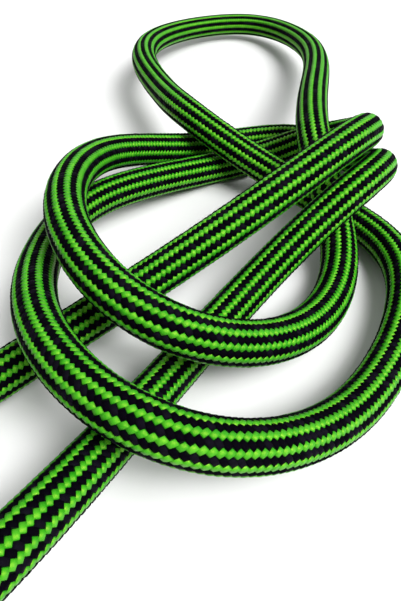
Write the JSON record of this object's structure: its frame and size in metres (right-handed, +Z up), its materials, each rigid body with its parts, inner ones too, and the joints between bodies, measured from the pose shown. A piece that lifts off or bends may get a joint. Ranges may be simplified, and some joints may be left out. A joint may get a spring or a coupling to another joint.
{
  "type": "climbing rope",
  "caption": "Round braided dynamic climbing rope with a stranded core, lying in loose crossing loops, the rest of its length in a flat tied coil.",
  "frame": {"origin": "centre of the overall box, at the surface the rope lies on", "axes": "+Z up from the surface, +X from the storage coil towards the loose loops, +Y away from the rope's free end, towards the far loop"},
  "size_m": [0.4587, 0.3247, 0.0716],
  "materials": {
    "sheath": "tightly braided polyamide yarn in lime green and black, soft sheen",
    "core": "white polyamide plied strands",
    "tape": "thin smooth film",
    "sleeve": "shrink tube, satin, faintly showing the braid under it",
    "seal": "melted and set polyamide, glossy and uneven",
    "tie": "black hook-and-loop strap, brushed loop outside"
  },
  "bodies": {
    "root": {"rope_sheath": "sheath", "core_strand_1": "core", "core_strand_2": "core", "core_strand_3": "core", "core_strand_4": "core", "core_strand_5": "core", "core_strand_6": "core", "core_strand_7": "core", "marker_tape": "tape", "end_sleeve_a": "sleeve", "end_seal_a": "seal", "rope_coil": "sheath", "coil_tail": "sheath", "end_sleeve_b": "sleeve", "end_seal_b": "seal", "coil_tie_1": "tie", "coil_tie_2": "tie", "coil_tie_3": "tie"}
  },
  "joints": []
}
